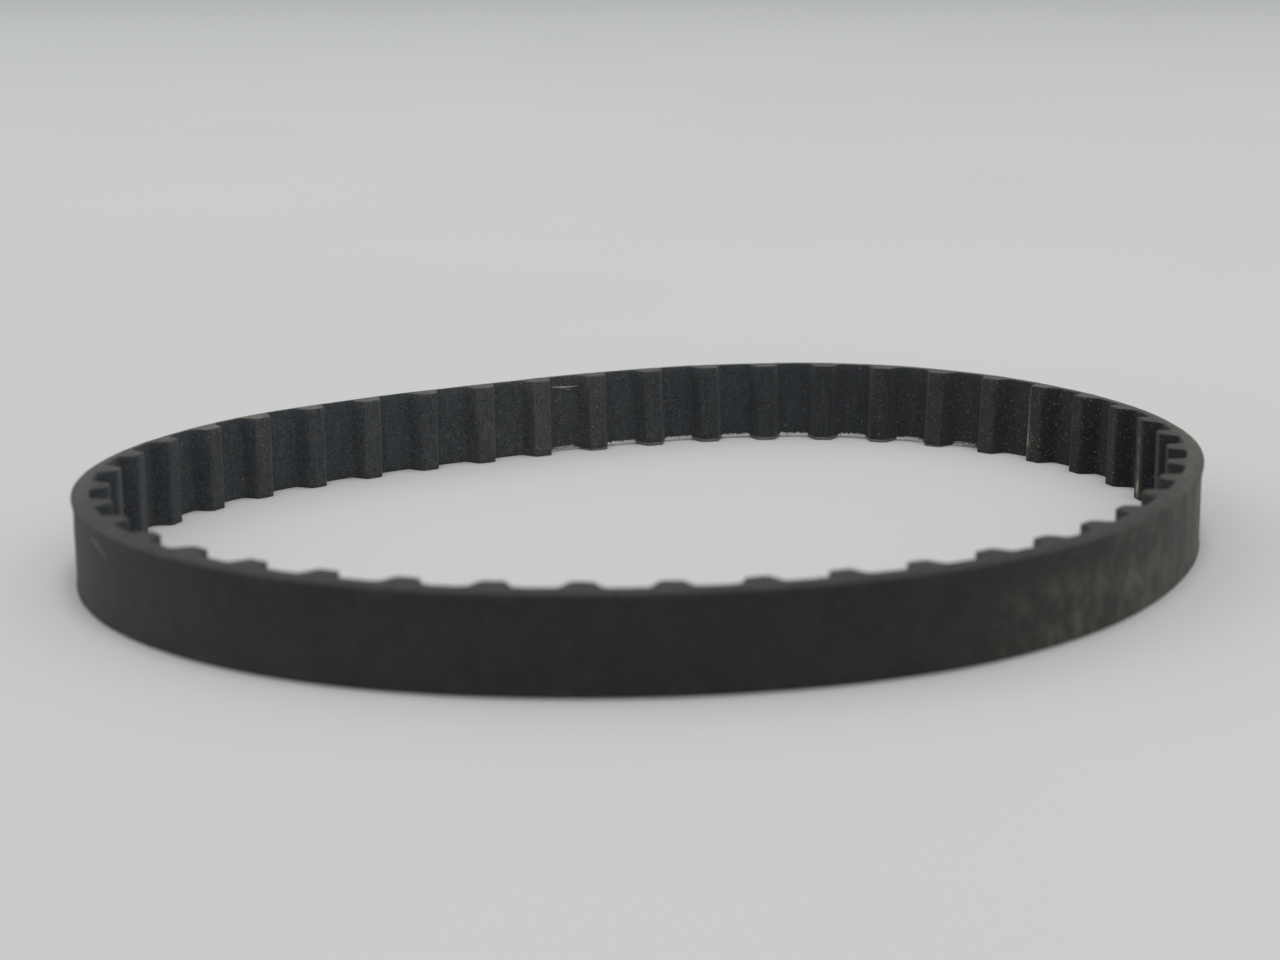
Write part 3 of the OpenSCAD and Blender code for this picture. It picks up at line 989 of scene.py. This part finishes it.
def fray_piece(piece):
    """An opened strand of cord in the land's lower edge, where the cloth is frayed away."""
    along = along_of(piece)
    lift = rag(along)
    land = along[(lift > 0.05) & (on_land(along) > 0.35)]
    if not len(land):
        return None
    rng = np.random.default_rng(700 + piece)
    mesh = Mesh()
    start, end = land.min(), land.max()
    band = np.linspace(start, end, 60)
    low = np.interp(band, along, lip_height(along)) * 0.8
    fray_band(mesh, piece, band, low, np.interp(band, along, lift))
    for n in range(30):
        filament(mesh, rng, start, end, long=n < 6)
    return mesh.make(f"frayed_fibre_{piece:02d}", [M_FRAY], sharp=50)


def scuff_piece(piece, tooth, z, length, width, bow, seed):
    """A thin crescent where the cloth's face was scraped pale."""
    mesh = Mesh()
    share = np.linspace(0, 1, 40)
    along = (tooth - 1) * PITCH + (share - 0.5) * length
    body = np.sin(math.pi * np.clip(share, 0.01, 0.99)) ** 0.7
    body = body * width * (1 + 0.35 * line_noise(along, 5, seed))
    middle = z - bow * np.sin(math.pi * share) - 0.04 * (share - 0.5) * length
    rows = [
        mesh.row(tooth_side(along, out), middle + across * body, along)
        for across, out in ((0.5, -0.01), (0.4, 0.012), (-0.4, 0.012), (-0.5, -0.01))
    ]
    mesh.solid(rows)
    return mesh.make(f"scuff_{piece:02d}_{seed}", [M_SCUFF], sharp=50)


# (tooth, z) down the nick in the back
NICK = ((41.01, 5.19), (40.95, 5.10), (40.82, 5.0), (40.73, 4.88), (40.61, 4.67), (40.49, 4.37))


def nick():
    """A fine pale nick in the back, slanting down."""
    mesh = Mesh()
    share = np.linspace(0, 1, 34)
    tooth, z = (np.interp(share, np.linspace(0, 1, len(NICK)), column) for column in np.array(NICK).T)
    along = (tooth - 1) * PITCH
    width = 0.1 * np.sin(math.pi * np.clip(share, 0.02, 0.98)) ** 0.5
    width = width * (1 + 0.5 * line_noise(along, 4, 81))
    link, x = locate(along / PITCH + 0.5)
    rows = []
    for across, out in ((-0.5, -0.02), (-0.4, 0.012), (0.4, 0.012), (0.5, -0.02)):
        depth = np.full(len(x), BACK_DEPTH - out)
        xy, normal = on_link(link, x, depth)
        points = settle(xy, normal, z + across * width, along, depth)
        rows.append(mesh.add(points, ring_place(along, depth, z), np.stack([along, z], -1)))
    mesh.solid(rows, flip=True)
    return mesh.make("nick_back", [M_SCUFF], sharp=50)


def name_of(link):
    return f"link_{(link - 1) % TEETH + 1:02d}"


def attach(made, piece, replaces=None):
    """Leaves a piece fixed where it was built, or lets it ride on one link where the loop is opened."""
    if piece == OPEN_AFTER:
        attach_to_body(made, name_of(piece))
    else:
        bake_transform(made)
    if replaces:
        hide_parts(replaces)


# name, height of its start, way of the twist, material, part it replaces
CORDS = (
    ("cord_s", CORD_LOW, 1, M_CORD_S, "tensile_cord_s"),
    ("cord_z", CORD_LOW + CORD_SPACE, -1, M_CORD_Z, "tensile_cord_z"),
)
NICK_PIECE, SCUFF_PIECE = 40, 8
# tooth, z, length, width, bow, seed
SCUFFS = ((8.52, 5.26, 2.45, 0.15, 0.06, 61), (8.6, 4.98, 0.6, 0.04, 0.02, 62))

for k in range(1, TEETH + 1):
    attach(rubber_piece(k), k, replaces=name_of(k))
    attach(facing_piece(k), k, replaces="tooth_facing")
    for name, first_z, lean, material, part in CORDS:
        attach(cord_piece(k, name, first_z, lean, material), k, replaces=part)
    fray = fray_piece(k)
    if fray:
        attach(fray, k)
    lip = lip_piece(k)
    if lip:
        attach(lip, k)
    if k == NICK_PIECE:
        attach(nick(), k)
    if k == SCUFF_PIECE:
        for scuff in SCUFFS:
            attach(scuff_piece(k, *scuff), k)


# ---------------------------------------------------------------- floor, lights and world, in metres
def build_floor():
    mat = Shader("pale_floor")
    position = mat.node("NewGeometry").outputs["Position"]
    soft = mat.grain(place=position, scale=9.0, roughness=0.5, seed=51)
    base = mat.mix(mat.ramp(soft, over=(0.3, 0.7)), (0.484, 0.487, 0.483), (0.496, 0.499, 0.495))
    mesh = bpy.data.meshes.new("floor")
    mesh.from_pydata([(-7, -5, 0), (7, -5, 0), (7, 9, 0), (-7, 9, 0)], [], [(0, 1, 2, 3)])
    mesh.materials.append(mat.surface(base, roughness=0.9, specular=0.0))
    floor = bpy.data.objects.new("floor", mesh)
    bpy.context.scene.collection.objects.link(floor)


def area_light(name, place, target, size, power, colour):
    light = bpy.data.lights.new(name, "AREA")
    light.shape = "RECTANGLE"
    light.size, light.size_y = size
    light.energy = power
    light.color = colour
    lamp = bpy.data.objects.new(name, light)
    lamp.location = place
    lamp.rotation_euler = (Vector(target) - Vector(place)).to_track_quat("-Z", "Y").to_euler()
    bpy.context.scene.collection.objects.link(lamp)


build_floor()
# name, place, target, size, power, colour
for lamp in (
    ("ceiling", (0.08, -0.02, 2.2), (0.08, -0.02, 0), (0.8, 0.8), 20.5, (1.0, 1.0, 0.985)),
    ("window", (-1.7, 0.3, 1.1), (0, 0, 0), (1.2, 1.2), 5.0, (0.93, 0.985, 1.0)),
    ("room", (0.8, -1.6, 1.2), (0, 0, 0), (1.6, 1.4), 4.0, (0.97, 1.0, 1.0)),
):
    area_light(*lamp)

world = bpy.data.worlds.new("soft_room")
world.use_nodes = True
background = world.node_tree.nodes["Background"]
background.inputs["Color"].default_value = (0.96, 0.98, 1.0, 1)
background.inputs["Strength"].default_value = 0.74
bpy.context.scene.world = world
bpy.context.scene.view_settings.view_transform = "Standard"

# ---------------------------------------------------------------- camera
LENS, SENSOR, F_STOP = 67.202156, 36, 44
TILT_DOWN, ROLL = 0.22179, 0.00348
DISTANCE, SIDE, RISE = 166.522, -1.09446, 4.0278  # of the eye: back along the view, across it and up
FOCUS_BEYOND = 20  # the sharp point lies this far past the loop's middle


def build_camera():
    look = np.array([0, math.cos(TILT_DOWN), -math.sin(TILT_DOWN)])
    right = np.array([1.0, 0, 0])
    up = np.cross(right, look)
    eye = -DISTANCE * look + SIDE * right + RISE * up
    rolled_right = math.cos(ROLL) * right - math.sin(ROLL) * up
    rolled_up = math.sin(ROLL) * right + math.cos(ROLL) * up
    turned = Matrix(np.column_stack([rolled_right, rolled_up, -look]).tolist()).to_4x4()

    data = bpy.data.cameras.new("camera")
    data.sensor_width = SENSOR
    data.lens = LENS
    data.clip_start, data.clip_end = 0.005, 20
    camera = bpy.data.objects.new("camera", data)
    camera.matrix_world = Matrix.Translation(Vector(eye * MM)) @ turned

    sharp = bpy.data.objects.new("sharp_point", None)
    sharp.location = Vector((eye + (DISTANCE + FOCUS_BEYOND) * look) * MM)
    bpy.context.scene.collection.objects.link(sharp)
    data.dof.use_dof = True
    data.dof.focus_object = sharp
    data.dof.aperture_fstop = F_STOP
    bpy.context.scene.collection.objects.link(camera)
    bpy.context.scene.camera = camera


build_camera()
